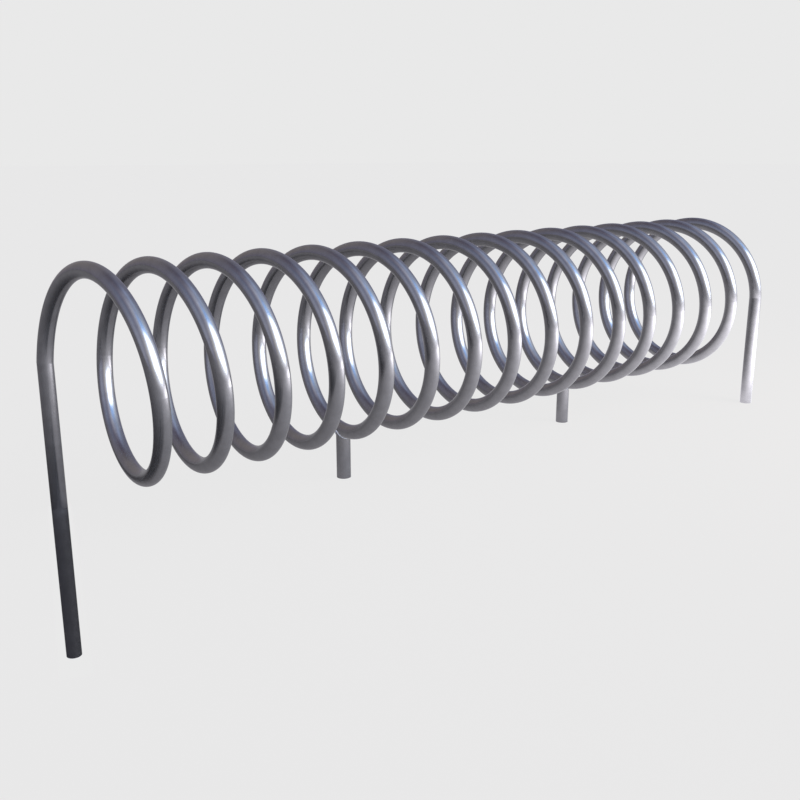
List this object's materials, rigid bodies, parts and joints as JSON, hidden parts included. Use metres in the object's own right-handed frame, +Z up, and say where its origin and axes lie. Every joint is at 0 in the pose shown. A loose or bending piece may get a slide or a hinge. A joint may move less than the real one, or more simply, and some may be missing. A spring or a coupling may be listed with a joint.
{
  "type": "circular bike rack",
  "caption": "Bicycle rack made of one round steel tube wound into a lying coil on end legs and short posts, cast into the ground; wheels park between its turns.",
  "frame": {"origin": "middle of the rack at ground level, under the axis of the coil; legs and posts go on 350 mm below it", "axes": "+X along the rack from the left end leg to the right one, +Y across it, away from the side that the picture was taken from, +Z up"},
  "size_m": [2, 0.45, 0.9],
  "materials": {
    "tube_steel": "smooth, bright galvanised steel with a semi-gloss sheen",
    "weld_metal": "galvanised weld bead, satin"
  },
  "bodies": {
    "root": {"upper_bend_01": "tube_steel", "upper_bend_02": "tube_steel", "upper_bend_03": "tube_steel", "upper_bend_04": "tube_steel", "upper_bend_05": "tube_steel", "upper_bend_06": "tube_steel", "upper_bend_07": "tube_steel", "upper_bend_08": "tube_steel", "upper_bend_09": "tube_steel", "upper_bend_10": "tube_steel", "upper_bend_11": "tube_steel", "upper_bend_12": "tube_steel", "upper_bend_13": "tube_steel", "upper_bend_14": "tube_steel", "upper_bend_15": "tube_steel", "upper_bend_16": "tube_steel", "lower_bend_01": "tube_steel", "lower_bend_02": "tube_steel", "lower_bend_03": "tube_steel", "lower_bend_04": "tube_steel", "lower_bend_05": "tube_steel", "lower_bend_06": "tube_steel", "lower_bend_07": "tube_steel", "lower_bend_08": "tube_steel", "lower_bend_09": "tube_steel", "lower_bend_10": "tube_steel", "lower_bend_11": "tube_steel", "lower_bend_12": "tube_steel", "lower_bend_13": "tube_steel", "lower_bend_14": "tube_steel", "lower_bend_15": "tube_steel", "left_leg": "tube_steel", "right_leg": "tube_steel", "left_post": "tube_steel", "right_post": "tube_steel", "backing_rings": "weld_metal", "post_welds": "weld_metal"}
  },
  "joints": []
}
